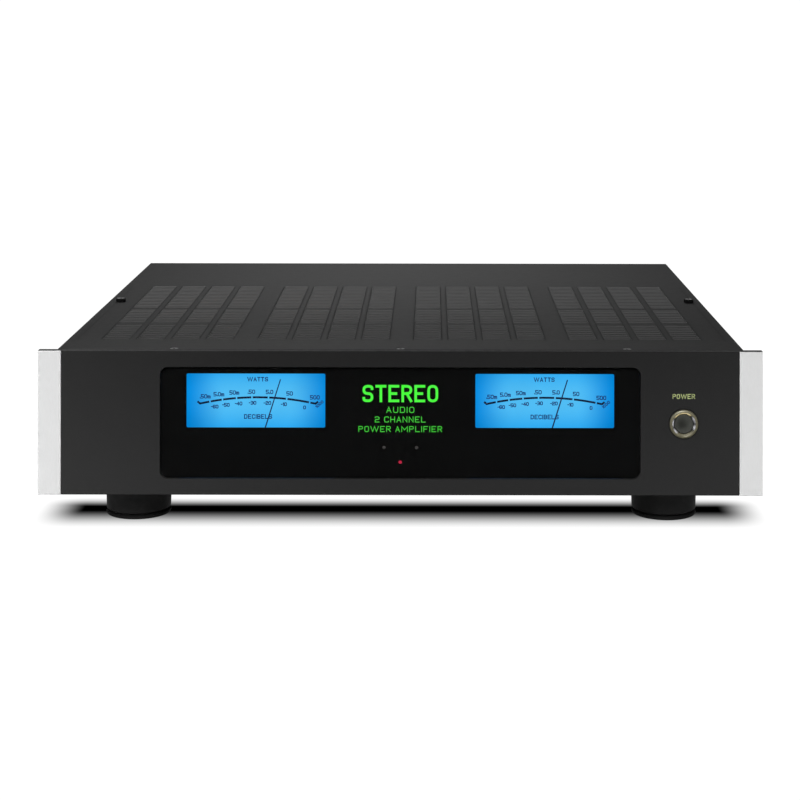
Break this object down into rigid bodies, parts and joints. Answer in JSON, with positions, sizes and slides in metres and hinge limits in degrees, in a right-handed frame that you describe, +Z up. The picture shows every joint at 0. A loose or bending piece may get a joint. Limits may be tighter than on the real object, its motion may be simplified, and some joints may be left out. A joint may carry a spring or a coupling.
{
  "type": "power amplifier",
  "caption": "Full-width stereo power amplifier in a vented black case with silver end caps, blue backlit needle meters behind a black glass window, a push button and round feet.",
  "frame": {"origin": "on the floor, below the centre of the whole object's box", "axes": "+X to the right as seen from the front, +Y to the back, +Z up"},
  "size_m": [0.4444, 0.4012, 0.1123],
  "materials": {
    "black_sheet": "fine-textured black powder coat",
    "cover_enamel": "satin charcoal enamel",
    "front_enamel": "fine-textured black enamel on aluminium",
    "satin_silver": "satin anodised, bright chamfers",
    "lens": "polished clear glass",
    "mask": "black print",
    "dial": "translucent blue, lit from behind",
    "meter_ink": "dark lacquer",
    "white_plastic": "moulded, matte",
    "zinc": "zinc plated",
    "black_zinc": "black plated die casting",
    "button_cap": "satin",
    "bezel_chrome": "polished, warm tint",
    "black_plastic": "moulded",
    "foot_plastic": "satin moulded",
    "rubber": "matte",
    "black_oxide": "black oxide",
    "gold_plate": "gold plated",
    "red_grip": "moulded",
    "black_grip": "moulded",
    "circuit_board": "solder resist",
    "winding_tape": "polyester tape",
    "heatsink_aluminium": "extruded, natural",
    "red_led": "lit red",
    "dim_led": "unlit",
    "ribbon": "vinyl",
    "mains_lead": "satin"
  },
  "bodies": {
    "chassis": {"chassis_tray": "black_sheet", "rear_panel": "black_sheet", "top_cover": "cover_enamel", "front_panel": "front_enamel", "end_cap_left": "satin_silver", "end_cap_right": "satin_silver", "display_lens": "lens", "display_mask": "mask", "meter_dial_left": "dial", "meter_dial_right": "dial", "meter_case_left": "white_plastic", "meter_case_right": "white_plastic", "meter_bracket": "zinc", "meter_movement_left": "zinc", "meter_movement_right": "zinc", "balanced_input_left": "black_zinc", "balanced_input_right": "black_zinc", "power_button_bezel": "bezel_chrome", "power_switch": "black_plastic", "mains_inlet": "black_plastic", "phono_inputs": "black_plastic", "foot_front_left": "foot_plastic", "foot_front_right": "foot_plastic", "foot_rear_left": "foot_plastic", "foot_rear_right": "foot_plastic", "foot_pad_front_left": "rubber", "foot_pad_front_right": "rubber", "foot_pad_rear_left": "rubber", "foot_pad_rear_right": "rubber", "cover_screw_front_left": "black_oxide", "cover_screw_front_centre": "black_oxide", "cover_screw_front_right": "black_oxide", "cover_screw_side_left": "black_oxide", "cover_screw_side_right": "black_oxide", "speaker_post_left_minus": "gold_plate", "speaker_post_left_plus": "gold_plate", "speaker_post_right_minus": "gold_plate", "speaker_post_right_plus": "gold_plate", "display_board": "circuit_board", "power_supply_board": "circuit_board", "amplifier_board": "circuit_board", "mains_transformer": "winding_tape", "heatsink": "heatsink_aluminium", "standby_led": "red_led", "status_led_left": "dim_led", "status_led_right": "dim_led", "display_ribbon_cable": "ribbon", "mains_lead": "mains_lead"},
    "push_button": {"power_button": "button_cap"},
    "needle_left": {"meter_pointer_left": "meter_ink"},
    "needle_right": {"meter_pointer_right": "meter_ink"},
    "fuse_carrier": {"fuse_drawer": "black_plastic"},
    "clamp_left_minus": {"speaker_collar_left_minus": "gold_plate"},
    "grip_left_minus": {"speaker_knob_left_minus": "black_grip"},
    "clamp_left_plus": {"speaker_collar_left_plus": "gold_plate"},
    "grip_left_plus": {"speaker_knob_left_plus": "red_grip"},
    "clamp_right_minus": {"speaker_collar_right_minus": "gold_plate"},
    "grip_right_minus": {"speaker_knob_right_minus": "black_grip"},
    "clamp_right_plus": {"speaker_collar_right_plus": "gold_plate"},
    "grip_right_plus": {"speaker_knob_right_plus": "red_grip"}
  },
  "joints": [
    {"name": "power_button_press", "type": "slide", "parent": "chassis", "child": "push_button", "axis": [0, 1, 0], "range_m": [0, 0.0025], "stiffness_N_per_m": 400},
    {"name": "fuse_drawer_slide", "type": "slide", "parent": "chassis", "child": "fuse_carrier", "axis": [0, 1, 0], "range_m": [0, 0.014]},
    {"name": "meter_needle_left", "type": "hinge", "parent": "chassis", "child": "needle_left", "pos_m": [-0.0887, -0.18895, 0.0441], "axis": [0, 1, 0], "range_deg": [-66.2, 31.4]},
    {"name": "meter_needle_right", "type": "hinge", "parent": "chassis", "child": "needle_right", "pos_m": [0.0887, -0.18895, 0.0441], "axis": [0, 1, 0], "range_deg": [-66.2, 31.4]},
    {"name": "terminal_travel_left_minus", "type": "slide", "parent": "chassis", "child": "clamp_left_minus", "axis": [0, 1, 0], "range_m": [0, 0.005]},
    {"name": "terminal_turn_left_minus", "type": "hinge", "parent": "clamp_left_minus", "child": "grip_left_minus", "pos_m": [-0.158, 0.17655, 0.06], "axis": [0, 1, 0], "range_deg": [0, 2249]},
    {"name": "terminal_travel_left_plus", "type": "slide", "parent": "chassis", "child": "clamp_left_plus", "axis": [0, 1, 0], "range_m": [0, 0.005]},
    {"name": "terminal_turn_left_plus", "type": "hinge", "parent": "clamp_left_plus", "child": "grip_left_plus", "pos_m": [-0.177, 0.17655, 0.06], "axis": [0, 1, 0], "range_deg": [0, 2249]},
    {"name": "terminal_travel_right_minus", "type": "slide", "parent": "chassis", "child": "clamp_right_minus", "axis": [0, 1, 0], "range_m": [0, 0.005]},
    {"name": "terminal_turn_right_minus", "type": "hinge", "parent": "clamp_right_minus", "child": "grip_right_minus", "pos_m": [0.158, 0.17655, 0.06], "axis": [0, 1, 0], "range_deg": [0, 2249]},
    {"name": "terminal_travel_right_plus", "type": "slide", "parent": "chassis", "child": "clamp_right_plus", "axis": [0, 1, 0], "range_m": [0, 0.005]},
    {"name": "terminal_turn_right_plus", "type": "hinge", "parent": "clamp_right_plus", "child": "grip_right_plus", "pos_m": [0.177, 0.17655, 0.06], "axis": [0, 1, 0], "range_deg": [0, 2249]}
  ],
  "couplings": [
    {"joint": "terminal_travel_left_minus", "follows": "terminal_turn_left_minus", "m_per_rad": 0.00012732},
    {"joint": "terminal_travel_left_plus", "follows": "terminal_turn_left_plus", "m_per_rad": 0.00012732},
    {"joint": "terminal_travel_right_minus", "follows": "terminal_turn_right_minus", "m_per_rad": 0.00012732},
    {"joint": "terminal_travel_right_plus", "follows": "terminal_turn_right_plus", "m_per_rad": 0.00012732}
  ]
}
